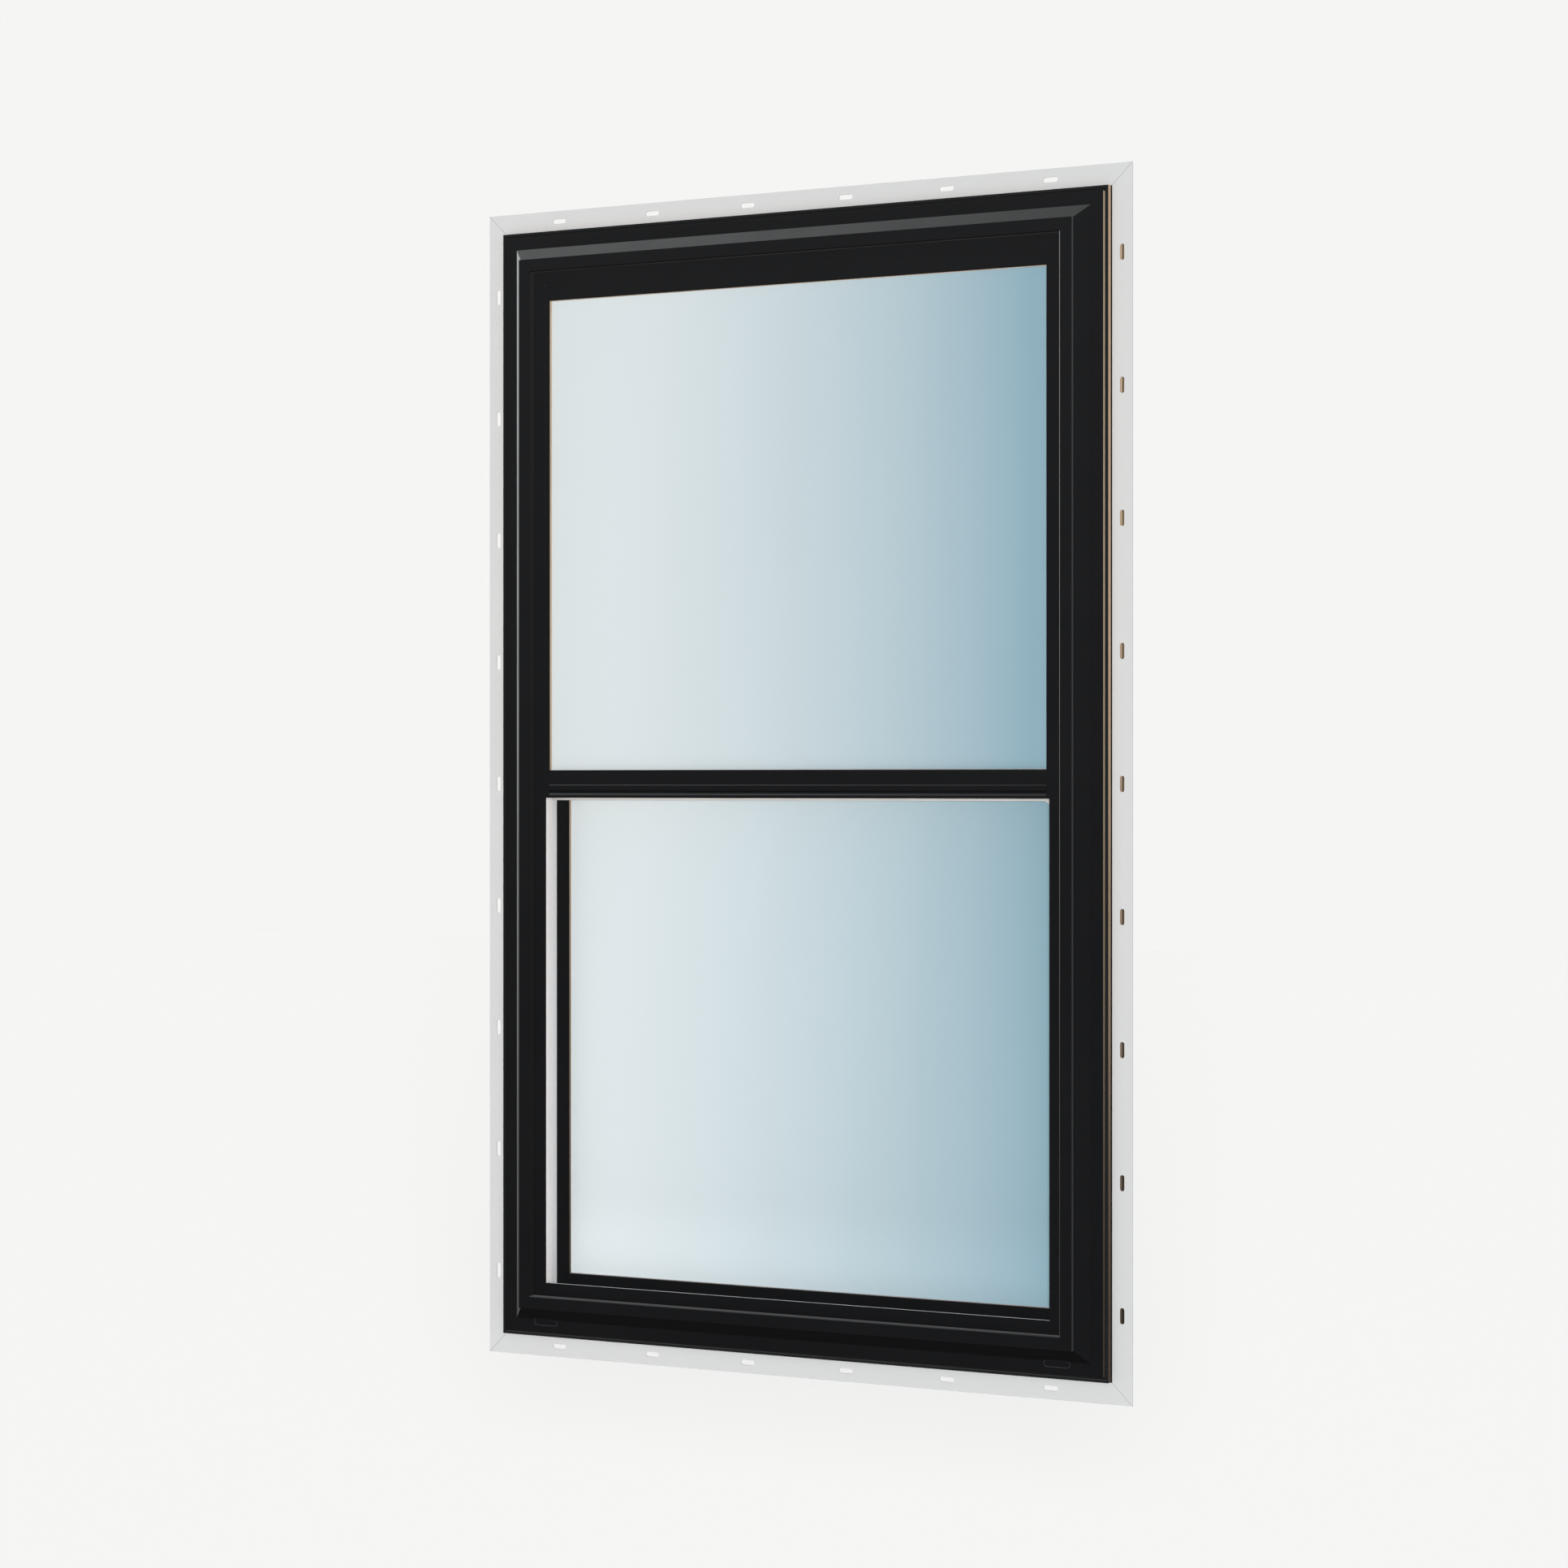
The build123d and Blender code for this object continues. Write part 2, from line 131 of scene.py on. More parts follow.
class Tree:
    """Short calls for building a node tree."""

    def __init__(self, owner):
        owner.use_nodes = True
        self.nodes = owner.node_tree.nodes
        self.links = owner.node_tree.links
        self.nodes.clear()

    def add(self, kind, settings=None, **inputs):
        node = self.nodes.new(kind)
        for name, value in (settings or {}).items():
            setattr(node, name, value)
        for name, value in inputs.items():
            self.put(node.inputs[name.replace("_", " ")], value)
        return node

    def put(self, socket, value):
        if isinstance(value, bpy.types.NodeSocket):
            self.links.new(value, socket)
        else:
            socket.default_value = value

    def fill(self, node, *values):
        """Puts the values on the node's first sockets."""
        for socket, value in zip(node.inputs, values):
            self.put(socket, value)
        return node

    def math(self, operation, *values):
        return self.fill(self.add("ShaderNodeMath", {"operation": operation}), *values).outputs[0]

    def vector_math(self, operation, *values):
        return self.fill(self.add("ShaderNodeVectorMath", {"operation": operation}), *values)

    def between(self, value, low, high, start=0.0, end=1.0, curve="SMOOTHSTEP"):
        """Change from start to end while the value goes from low to high."""
        node = self.add("ShaderNodeMapRange", {"interpolation_type": curve})
        return self.fill(node, value, low, high, start, end).outputs[0]

    def vary(self, noise, start=0.0, end=1.0):
        """Change from start to end over the usual range of a noise."""
        return self.between(noise, *NOISE_SPAN, start, end)

    def mix(self, factor, first, second):
        node = self.add("ShaderNodeMix", {"data_type": "RGBA"}, Factor=factor)
        self.put(node.inputs[MIX_FIRST], first)
        self.put(node.inputs[MIX_SECOND], second)
        return node.outputs[MIX_RESULT]

    def place(self, scale=(1, 1, 1)):
        """Object coordinates, stretched."""
        source = self.add("ShaderNodeTexCoord").outputs["Object"]
        return self.add("ShaderNodeMapping", Vector=source, Scale=scale).outputs[0]

    def split(self, vector):
        """X, Y and Z of a vector."""
        return self.add("ShaderNodeSeparateXYZ", Vector=vector).outputs

    def normal(self):
        """Flat normal of the face."""
        return self.add("ShaderNodeNewGeometry").outputs["True Normal"]

    def dot(self, vector, direction):
        return self.vector_math("DOT_PRODUCT", vector, direction).outputs["Value"]

    def noise(self, vector, scale, detail=2.0, roughness=0.5):
        node = self.add("ShaderNodeTexNoise", Vector=vector, Scale=scale, Detail=detail, Roughness=roughness)
        return node.outputs["Fac"]

    def bump(self, height, distance, strength):
        node = self.add("ShaderNodeBump", Strength=strength, Distance=distance, Height=height)
        return node.outputs["Normal"]

    def blend_shaders(self, factor, first, second):
        return self.fill(self.add("ShaderNodeMixShader"), factor, first, second).outputs[0]


def rgba(colour):
    return (*colour, 1.0)


def shaded(colour, share):
    return [share * part for part in colour]


def new_surface(name):
    """Material with a Principled surface, and its tree."""
    material = bpy.data.materials.new(name)
    tree = Tree(material)
    shader = tree.add("ShaderNodeBsdfPrincipled")
    output = tree.add("ShaderNodeOutputMaterial")
    tree.links.new(shader.outputs[0], output.inputs["Surface"])
    return material, tree, shader


# Baked black paint; bumps are given as distance and strength here and below
BLACK_LOW = (0.0050, 0.0052, 0.0060)
BLACK_HIGH = (0.0064, 0.0067, 0.0077)
BLACK_EDGE_AND_GROOVE_SHADE = (0.0145, 0.0150, 0.0158)
BLACK_STEP_HIGHLIGHT = (0.0450, 0.0460, 0.0480)
BLACK_ROUGHNESS = (0.28, 0.36)
BLACK_CLOUD_SCALE = 9.0
PEEL_SCALE = 900.0
PEEL_BUMP = (0.00004, 0.35)
SOFT_EDGE = 0.0004
SOFT_EDGE_SAMPLES = 4


def black_paint(name, outward=None):
    """Black paint on metal: faint orange peel, uneven gloss, soft edges; jambs have a painted highlight, a
    greyer black, on their outward step.
    """
    material, tree, shader = new_surface(name)
    where = tree.place()
    cloud = tree.noise(where, BLACK_CLOUD_SCALE, MORE_DETAIL)
    peel = tree.noise(where, PEEL_SCALE)
    colour = tree.mix(cloud, rgba(BLACK_LOW), rgba(BLACK_HIGH))
    # Painted highlight: on the jambs, faces turned fully outward (the step) get a greyer black.
    if outward is not None:
        step = tree.math("GREATER_THAN", tree.dot(tree.normal(), outward), TURNED_FULLY)
        colour = tree.mix(step, colour, rgba(BLACK_STEP_HIGHLIGHT))
    tree.put(shader.inputs["Base Color"], colour)
    tree.put(shader.inputs["Roughness"], tree.vary(cloud, *BLACK_ROUGHNESS))
    soft = tree.add("ShaderNodeBevel", {"samples": SOFT_EDGE_SAMPLES}, Radius=SOFT_EDGE)
    rough = tree.bump(peel, *PEEL_BUMP)
    tree.put(rough.node.inputs["Normal"], soft.outputs[0])
    tree.put(shader.inputs["Normal"], rough)
    return material


# Pine: tones, grain and fibre
PINE_DARK = (0.58, 0.41, 0.26)
PINE_LIGHT = (0.70, 0.51, 0.33)
PINE_FIBRE = (0.42, 0.28, 0.17)
PINE_ROUGHNESS = (0.50, 0.66)
LOW_SPECULAR = 0.25
GRAIN_STRETCH = 0.04
BAND_SCALE = 70.0
BAND_ROUGHNESS = 0.55
BAND_SPAN = (0.35, 0.65)
FIBRE_SCALE = 900.0
FIBRE_ROUGHNESS = 0.6
FIBRE_SPAN = (0.55, 0.75)
FIBRE_MOST = 0.35
FIBRE_BUMP = (0.00010, 0.5)

# Painted shade that darkens the outdoor wood towards the sill and fades out upwards, and the depth behind
# which the wood indoors has none
LOWER_PAINTED_SHADE = (0.040, 0.026, 0.018)
LOWER_SHADE_MOST = 0.93
SHADE_BELOW_MIDDLE = 0.755
SHADE_ABOVE_MIDDLE = 0.37
SHADE_FREE_DEPTH = 0.02

# Middle depth and half width of the grooves that run round the wood frame behind the cladding, which get
# painted shade; the outward groove wall in front of the fin gets painted light
SHADED_FRAME_GROOVES = ((0.0362, 0.0023), (-0.0023, 0.0023))
GROOVE_LIP = 0.0004
FRAME_FRONT = -0.005
GROOVE_WALL_PAINTED_LIGHT = (0.96, 0.74, 0.52)


def pine(name, grain, shade_limit, outward=None, outer_wall=0.0):
    """Straight-grained pine with painted shade outdoors towards the sill; the frame's front edge is black,
    its grooves have painted shade and its outward groove wall painted light.
    """
    material, tree, shader = new_surface(name)
    stretch = [1.0, 1.0, 1.0]
    stretch["XYZ".index(grain)] = GRAIN_STRETCH
    where = tree.place(stretch)
    bands = tree.noise(where, BAND_SCALE, MORE_DETAIL, BAND_ROUGHNESS)
    fibre = tree.noise(where, FIBRE_SCALE, roughness=FIBRE_ROUGHNESS)
    light = tree.mix(tree.between(bands, *BAND_SPAN), rgba(PINE_DARK), rgba(PINE_LIGHT))
    colour = tree.mix(tree.between(fibre, *FIBRE_SPAN, 0.0, FIBRE_MOST), light, rgba(PINE_FIBRE))
    spot = tree.split(tree.place())
    depth = spot["Y"]
    # Painted light: inside the outer wall and in front of the fin, the wood is far lighter, so the groove's
    # outward wall looks lit.
    if outward is not None:
        inset = tree.math("LESS_THAN", tree.dot(tree.place(), outward), outer_wall - GROOVE_LIP)
        ahead = tree.math("LESS_THAN", depth, FRAME_FRONT)
        colour = tree.mix(tree.math("MULTIPLY", inset, ahead), colour, rgba(GROOVE_WALL_PAINTED_LIGHT))
    # Painted shade: the outdoor wood darkens towards the sill.
    shade_low = MID_HEIGHT - SHADE_BELOW_MIDDLE
    shade_high = MID_HEIGHT + SHADE_ABOVE_MIDDLE
    lower_shade = tree.between(spot["Z"], shade_low, shade_high, LOWER_SHADE_MOST, 0.0)
    outdoors = tree.math("LESS_THAN", depth, shade_limit)
    colour = tree.mix(tree.math("MULTIPLY", lower_shade, outdoors), colour, rgba(LOWER_PAINTED_SHADE))
    # Black paint on the frame's front edge, and painted shade inside the grooves round the frame.
    if outward is not None:
        turned = tree.math("LESS_THAN", tree.dot(tree.normal(), outward), TURNED)
        dark = tree.math("MULTIPLY", turned, ahead)
        for middle, half in SHADED_FRAME_GROOVES:
            within = tree.math("COMPARE", depth, middle, half)
            dark = tree.math("MAXIMUM", dark, tree.math("MULTIPLY", inset, within))
        colour = tree.mix(dark, colour, rgba(BLACK_EDGE_AND_GROOVE_SHADE))
    tree.put(shader.inputs["Base Color"], colour)
    tree.put(shader.inputs["Roughness"], tree.vary(fibre, *PINE_ROUGHNESS))
    shader.inputs["Specular IOR Level"].default_value = LOW_SPECULAR
    tree.put(shader.inputs["Normal"], tree.bump(fibre, *FIBRE_BUMP))
    return material


# Vinyl: two tones of each part, painted light on the side walls of the tracks, and the fin's painted shade
# towards its right
FIN_TONES = ((0.745, 0.75, 0.75), (0.73, 0.735, 0.735))
FIN_RIGHT_PAINTED_SHADE = (0.70, 0.71, 0.71)
LINER_TONES = ((0.86, 0.84, 0.83), (0.83, 0.81, 0.80))
LINER_WALLS_PAINTED_LIGHT = (0.97, 0.97, 0.98)
STRIP_TONES = ((0.66, 0.66, 0.66), (0.62, 0.62, 0.62))
VINYL_ROUGHNESS = (0.42, 0.55)
VINYL_CLOUD_SCALE = 14.0
GRIT_SCALE = 1400.0
GRIT_BUMP = (0.00003, 0.4)

# Welded corners of the fin, and the painted shade on its root inside the frame and just beyond it
SEAM_TONE = (0.46, 0.46, 0.46)
SEAM_SPAN = (0.0003, 0.0007)
FIN_ROOT_SHADE_REACH = 0.0008


def vinyl(name, colour, shade, seams_and_painted_shade=False, walls=None):
    """Extruded vinyl: even colour, fine grit and a soft sheen; the fin has welded corners, with painted
    shade towards its right and on its root, and track sides can have painted light.
    """
    material, tree, shader = new_surface(name)
    where = tree.place()
    cloud = tree.noise(where, VINYL_CLOUD_SCALE, MORE_DETAIL)
    grit = tree.noise(where, GRIT_SCALE)
    tone = tree.mix(tree.vary(cloud), rgba(shade), rgba(colour))
    # Painted light: faces turned sideways (the side walls of the tracks) get a lighter tone where the recess
    # shades them.
    if walls is not None:
        across = tree.math("ABSOLUTE", tree.split(tree.normal())["X"])
        tone = tree.mix(tree.math("GREATER_THAN", across, TURNED), tone, rgba(walls))
    if seams_and_painted_shade:
        spot = tree.split(where)
        # Painted shade: the fin darkens towards its right, where the key lamp lights it more.
        tone = tree.mix(tree.between(spot["X"], -FIN_HALF_WIDTH, FIN_HALF_WIDTH), tone, rgba(FIN_RIGHT_PAINTED_SHADE))
        across = tree.math("SUBTRACT", tree.math("ABSOLUTE", spot["X"]), FIN_HALF_WIDTH)
        up = tree.math("ABSOLUTE", tree.math("SUBTRACT", spot["Z"], MID_HEIGHT))
        along = tree.math("SUBTRACT", up, FIN_HALF_HEIGHT)
        apart = tree.math("ABSOLUTE", tree.math("SUBTRACT", across, along))
        tone = tree.mix(tree.between(apart, *SEAM_SPAN, 1.0, 0.0), tone, rgba(SEAM_TONE))
        # Painted shade: the fin is black where it enters the frame's kerf.
        root_shade = tree.math("LESS_THAN", tree.math("MAXIMUM", across, along), FIN_ROOT_SHADE_REACH - FIN_WIDTH)
        tone = tree.mix(root_shade, tone, rgba(BLACK_HIGH))
    tree.put(shader.inputs["Base Color"], tone)
    tree.put(shader.inputs["Roughness"], tree.vary(grit, *VINYL_ROUGHNESS))
    shader.inputs["Specular IOR Level"].default_value = LOW_SPECULAR
    tree.put(shader.inputs["Normal"], tree.bump(grit, *GRIT_BUMP))
    return material


# Painted reflection on each pane: its tint at the left and at the right, and how fast it changes between
# them
UPPER_GLASS = ((0.769, 0.838, 0.856), (0.286, 0.455, 0.543), 1.55)
LOWER_GLASS = ((0.832, 0.905, 0.925), (0.300, 0.475, 0.562), 1.2)
GLASS_SPAN = (-0.33, 0.345)

# The pane has painted light near the sill, where the sill shades it, and a painted pale sky, lighter
# upwards, seen from indoors
SILL_PAINTED_LIGHT = 1.22
SILL_LIGHT_SPAN = (0.08, 0.22)
INDOORS_LOW = (0.66, 0.76, 0.79)
INDOORS_HIGH = (0.86, 0.91, 0.92)
INDOORS_SPAN = (0.05, 2 * MID_HEIGHT)

# Haze and roller wave of the glass
COATING_ROUGHNESS = (0.02, 0.05)
HAZE_STRETCH = (1, 1, 0.3)
HAZE_SCALE = 4.0
HAZE_SHARE = 0.04
WAVE_STRETCH = (1, 1, 0.4)
WAVE_SCALE = 3.0
WAVE_DETAIL = 1.0
WAVE_BUMP = (0.0003, 0.1)


def glass_painted_reflection(name, left, right, curve):
    """Painted reflection from silver white to pale blue, lighter near the sill, with a faint roller wave; a
    painted pale sky from indoors.
    """
    material, tree, shader = new_surface(name)
    spot = tree.split(tree.place())
    # Painted reflection: the tint runs from silver white at the left to pale blue at the right.
    run = tree.between(spot["X"], *GLASS_SPAN, curve="LINEAR")
    tint = tree.mix(tree.math("POWER", run, curve), rgba(left), rgba(right))
    # Painted light: the pane is lighter near the sill.
    painted_sill_light = tree.vector_math("SCALE", tint)
    tree.put(painted_sill_light.inputs["Scale"], tree.between(spot["Z"], *SILL_LIGHT_SPAN, SILL_PAINTED_LIGHT, 1.0))
    # Painted sky: the indoor face is a pale sky, lighter upwards.
    indoors = tree.math("GREATER_THAN", tree.split(tree.normal())["Y"], TURNED)
    sky = tree.mix(tree.between(spot["Z"], *INDOORS_SPAN), rgba(INDOORS_LOW), rgba(INDOORS_HIGH))
    tint = tree.mix(indoors, painted_sill_light.outputs[0], sky)
    haze = tree.noise(tree.place(HAZE_STRETCH), HAZE_SCALE)
    tree.put(shader.inputs["Base Color"], tree.mix(HAZE_SHARE, tint, haze))
    tree.put(shader.inputs["Roughness"], tree.vary(haze, *COATING_ROUGHNESS))
    wave = tree.noise(tree.place(WAVE_STRETCH), WAVE_SCALE, WAVE_DETAIL)
    tree.put(shader.inputs["Normal"], tree.bump(wave, *WAVE_BUMP))
    return material


# Clear glass of the inner panes
CLEAR_LOW = (0.62, 0.72, 0.71)
CLEAR_HIGH = (0.70, 0.80, 0.79)
CLEAR_ROUGHNESS = (0.01, 0.03)
CLEAR_ALPHA = (0.10, 0.14)
CLEAR_HAZE_SCALE = 6.0
GLASS_IOR = 1.5


def clear_glass():
    """Inner pane: clear, a little green, seen from indoors."""
    material, tree, shader = new_surface("clear_glass")
    haze = tree.noise(tree.place(), CLEAR_HAZE_SCALE)
    tree.put(shader.inputs["Base Color"], tree.mix(haze, rgba(CLEAR_LOW), rgba(CLEAR_HIGH)))
    tree.put(shader.inputs["Roughness"], tree.vary(haze, *CLEAR_ROUGHNESS))
    tree.put(shader.inputs["Alpha"], tree.vary(haze, *CLEAR_ALPHA))
    shader.inputs["IOR"].default_value = GLASS_IOR
    return material


# Metals: colour and middle roughness, and their brushing
SPACER_METAL = ((0.62, 0.63, 0.64), 0.35)
SATIN_NICKEL = ((0.60, 0.58, 0.54), 0.32)
METALLIC = 0.45
BRUSH_STRETCH = (0.05, 1, 1)
BRUSH_SCALE = 2500.0
BRUSH_SHADE = 0.9
BRUSH_GLOSS = 0.06
BRUSH_BUMP = (0.00003, 0.3)


def metal(name, colour, rough):
    """Satin metal with fine brushing along X."""
    material, tree, shader = new_surface(name)
    brush = tree.noise(tree.place(BRUSH_STRETCH), BRUSH_SCALE)
    tree.put(shader.inputs["Base Color"], tree.mix(brush, rgba(shaded(colour, BRUSH_SHADE)), rgba(colour)))
    tree.put(shader.inputs["Roughness"], tree.vary(brush, rough - BRUSH_GLOSS, rough + BRUSH_GLOSS))
    shader.inputs["Metallic"].default_value = METALLIC
    tree.put(shader.inputs["Normal"], tree.bump(brush, *BRUSH_BUMP))
    return material


# Sealant, which also makes the painted highlight along the sill's leg, and rolled edges
PALE_SEALANT_AND_HIGHLIGHT = (0.66, 0.68, 0.69)
RIM_BLACK = (0.034, 0.036, 0.040)
RUBBER_ROUGHNESS = (0.55, 0.72)
RUBBER_SCALE = 1800.0
RUBBER_SHADE = 0.85
RUBBER_BUMP = (0.00004, 0.5)


def rubber(name, colour):
    """Soft sealant or gasket with a fine matt grain."""
    material, tree, shader = new_surface(name)
    grain = tree.noise(tree.place(), RUBBER_SCALE, MORE_DETAIL)
    tree.put(shader.inputs["Base Color"], tree.mix(grain, rgba(shaded(colour, RUBBER_SHADE)), rgba(colour)))
    tree.put(shader.inputs["Roughness"], tree.vary(grain, *RUBBER_ROUGHNESS))
    tree.put(shader.inputs["Normal"], tree.bump(grain, *RUBBER_BUMP))
    return material


def paint(material, *names):
    for name in names:
        mesh = NODES[name].data
        mesh.materials.clear()
        mesh.materials.append(material)


def dress_black():
    """Black paint on the cladding, the sill cover and the weep covers; the jamb cladding has a painted
    highlight on its outward step.
    """
    covers = ("sill_cover", "weep_cover_left", "weep_cover_right")
    paint(black_paint("black_paint"), *[n for n in NODES if "cladding" in n or n in covers])
    paint(black_paint("black_paint_step_highlight_left", (-1, 0, 0)), "jamb_cladding_left")
    paint(black_paint("black_paint_step_highlight_right", (1, 0, 0)), "jamb_cladding_right")


def dress_wood():
    """Pine on the frame, the sashes and the stops, with the grain along each piece."""
    frame_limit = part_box("jamb_left")[1].y - SHADE_FREE_DEPTH
    for node, grain, outward in (
        ("jamb_left", "Z", (-1, 0, 0)),
        ("jamb_right", "Z", (1, 0, 0)),
        ("head_jamb", "X", (0, 0, 1)),
        ("sill", "X", (0, 0, -1)),
    ):
        outer_wall = max(corner.dot(Vector(outward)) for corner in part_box(node))
        paint(pine("pine_" + node, grain, frame_limit, outward, outer_wall), node)
    for sash in ("upper", "lower"):
        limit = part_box(sash + "_outer_pane")[0].y
        paint(pine(sash + "_pine_upright", "Z", limit), sash + "_stile_left", sash + "_stile_right")
        rails = [n for n in NODES if n.startswith(sash) and n.endswith("_rail")]
        paint(pine(sash + "_pine_level", "X", limit), *rails)
    paint(pine("pine_stop_upright", "Z", 0.0), "interior_stop_left", "interior_stop_right")
    paint(pine("pine_stop_level", "X", 0.0), "head_stop")


def dress_rest():
    """Vinyl, glass and metal of the other pieces."""
    fins = [n for n in NODES if n.startswith("nail_fin")]
    liners = [n for n in NODES if "liner" in n]
    hardware = ("sash_lock", "lock_keeper", "tilt_latch_left", "tilt_latch_right")
    paint(vinyl("fin_vinyl", *FIN_TONES, seams_and_painted_shade=True), *fins)
    paint(vinyl("liner_vinyl", *LINER_TONES, walls=LINER_WALLS_PAINTED_LIGHT), *liners)
    paint(vinyl("strip_vinyl", *STRIP_TONES), "check_rail_weatherstrip")
    paint(glass_painted_reflection("upper_glass", *UPPER_GLASS), "upper_outer_pane")
    paint(glass_painted_reflection("lower_glass", *LOWER_GLASS), "lower_outer_pane")
    paint(clear_glass(), "upper_inner_pane", "lower_inner_pane")
    paint(metal("spacer_metal", *SPACER_METAL), "upper_spacer", "lower_spacer")
    paint(metal("satin_nickel", *SATIN_NICKEL), *hardware)


def add_piece(name, shape, material, smooth=True):
    """Turns a finished bmesh into a piece of the window with the given material, riding on the root body."""
    bmesh.ops.recalc_face_normals(shape, faces=shape.faces)
    mesh = bpy.data.meshes.new(name)
    for face in shape.faces:
        face.smooth = smooth
    shape.to_mesh(mesh)
    shape.free()
    mesh.materials.append(material)
    piece = bpy.data.objects.new(name, mesh)
    bpy.context.scene.collection.objects.link(piece)
    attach(piece, "root")


def bridge_loops(shape, loops, closed=True):
    """Quads between neighbouring loops of points; closed joins the last loop to the first."""
    rows = [[shape.verts.new(point) for point in loop] for loop in loops]
    pairs = zip(rows, rows[1:] + rows[:1]) if closed else zip(rows, rows[1:])
    for row, following in pairs:
        for index in range(len(row)):
            after = (index + 1) % len(row)
            shape.faces.new((row[index], row[after], following[after], following[index]))
    return rows


def add_bar(shape, loops):
    """Bar through the loops of points, closed at both ends."""
    for row in bridge_loops(shape, loops, closed=False):
        shape.faces.new(row)


# Beads of sealant between glass and sash: how far each corner of the section stands inward and in depth
GLASS_BITE = 0.009
OUTER_BEAD = [
    (0.0, 0.0),
    (0.0, -0.0011),
    (0.0004, -0.0010),
    (0.0007, -0.0007),
    (0.0009, -0.0003),
    (0.0009, 0.0),
]
INNER_BEAD = [
    (0.0, 0.0),
    (0.0, 0.0030),
    (0.0008, 0.0026),
    (0.0016, 0.0019),
    (0.0023, 0.0010),
    (0.0027, 0.0),
]

# Pane, section, which corner of the pane's box has the face, and the bead's width at the sides as a share
BEADS = (("outer", OUTER_BEAD, 0, 0.3), ("inner", INNER_BEAD, 1, 1.0))


def pane_ring(shape, half, low, high, depth, section, side_share):
    """Ring of the given section just inside an opening."""
    loops = []
    for side, level, up in ((-1, low, 1), (1, low, 1), (1, high, -1), (-1, high, -1)):
        loop = []
        for inward, deep in section:
            across = side * (half - side_share * inward)
            loop.append((across, depth + deep, level + up * inward))
        loops.append(loop)
    bridge_loops(shape, loops)


def make_beads():
    """Pale line of sealant round each pane, outdoors and indoors."""
    pale = rubber("pale_sealant_and_sill_highlight", PALE_SEALANT_AND_HIGHLIGHT)
    for sash in ("upper", "lower"):
        for pane, section, face, side_share in BEADS:
            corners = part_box(f"{sash}_{pane}_pane")
            half = corners[1].x - GLASS_BITE
            low = corners[0].z + GLASS_BITE
            high = corners[1].z - GLASS_BITE
            shape = bmesh.new()
            pane_ring(shape, half, low, high, corners[face].y, section, side_share)
            add_piece(f"{sash}_{pane}_sealant", shape, pale)


# Pale strip along the top edge of the sill's leg, between the leg and the sill cover, a painted highlight of
# that edge: depth and height from the leg's top
LEG_BACK = -0.0226
SILL_HIGHLIGHT_SECTION = [
    (0.0, -0.0004),
    (0.0, 0.0002),
    (0.0003, 0.00035),
    (0.0011, 0.00035),
    (0.0015, 0.0001),
    (0.0015, -0.0004),
]


def make_sill_highlight():
    """Thin pale line along the top of the sill's leg: a painted highlight of its edge."""
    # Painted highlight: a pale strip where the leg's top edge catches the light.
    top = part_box("sill_cladding")[1].z
    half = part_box("jamb_cladding_right")[0].x
    shape = bmesh.new()
    ends = (-half, half)
    add_bar(shape, [[(end, LEG_BACK + deep, top + rise) for deep, rise in SILL_HIGHLIGHT_SECTION] for end in ends])
    add_piece("sill_highlight", shape, bpy.data.materials["pale_sealant_and_sill_highlight"], smooth=False)


# Rolled rims of the weep slots; the profile gives shares of the rim's width and height
RIM_WIDTH = 0.0009
RIM_PROUD = 0.0006
RIM_PROFILE = ((0.0, 0.0), (0.0, 1.0), (0.5, 1.3), (1.0, 1.0), (1.0, 0.0))
RIM_END_STEPS = 8


def stadium(length, height):
    """Points round a slot shape, in its own plane."""
    radius = height / 2
    points = []
    for side, start in ((1, -90), (-1, 90)):
        for step in range(RIM_END_STEPS + 1):
            angle = math.radians(start + 180 * step / RIM_END_STEPS)
            across = side * (length / 2 - radius) + radius * math.cos(angle)
            points.append((across, radius * math.sin(angle)))
    return points


def make_weep_rims():
    """Rolled edge round each weep slot."""
    edge = rubber("weep_rim_black", RIM_BLACK)
    for side in ("left", "right"):
        low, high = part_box("weep_cover_" + side)
        middle = (low + high) / 2
        front = low.y
        shape = bmesh.new()
        loops = []
        for grow, rise in RIM_PROFILE:
            wider = 2 * grow * RIM_WIDTH
            points = stadium(high.x - low.x + wider, high.z - low.z + wider)
            loops.append([(middle.x + x, front - rise * RIM_PROUD, middle.z + z) for x, z in points])
        bridge_loops(shape, loops)
        add_piece("weep_rim_" + side, shape, edge)


# Domed screw heads with a cross recess
SCREW_RADIUS = 0.0031
SCREW_HEIGHT = 0.0016
SCREW_RINGS = 14
SCREW_STEPS = 64
DOME_POWER = 4
CROSS_REACH = 0.0019
CROSS_WIDTH = 0.0005
CROSS_DEPTH = 0.0010

# Places of the screws on the lock, keeper and latches, and how far each is turned from the one before
LOCK_SCREW_REACH = 0.0245
LOCK_PLATE = 0.004
KEEPER_SCREW_REACH = 0.019
LATCH_SCREW_INSET = 0.010
LATCH_PLATE = 0.0045
SCREW_TURN = 0.7


def screw_head(shape, place, turn):
    """Domed head with a cross recess."""
    loops = []
    for ring in range(SCREW_RINGS, 0, -1):
        share = ring / SCREW_RINGS
        radius = share * SCREW_RADIUS
        rise = SCREW_HEIGHT * math.sqrt(max(0.0, 1 - share ** DOME_POWER))
        loop = []
        for step in range(SCREW_STEPS):
            angle = 2 * math.pi * step / SCREW_STEPS
            x, y = radius * math.cos(angle), radius * math.sin(angle)
            arm = min(abs(x), abs(y)) < CROSS_WIDTH and radius < CROSS_REACH
            height = max(0.0, rise - CROSS_DEPTH) if arm else rise
            loop.append(place + Matrix.Rotation(turn, 3, "Z") @ Vector((x, y, height)))
        loops.append(loop)
    rows = bridge_loops(shape, loops, closed=False)
    shape.faces.new(rows[-1])


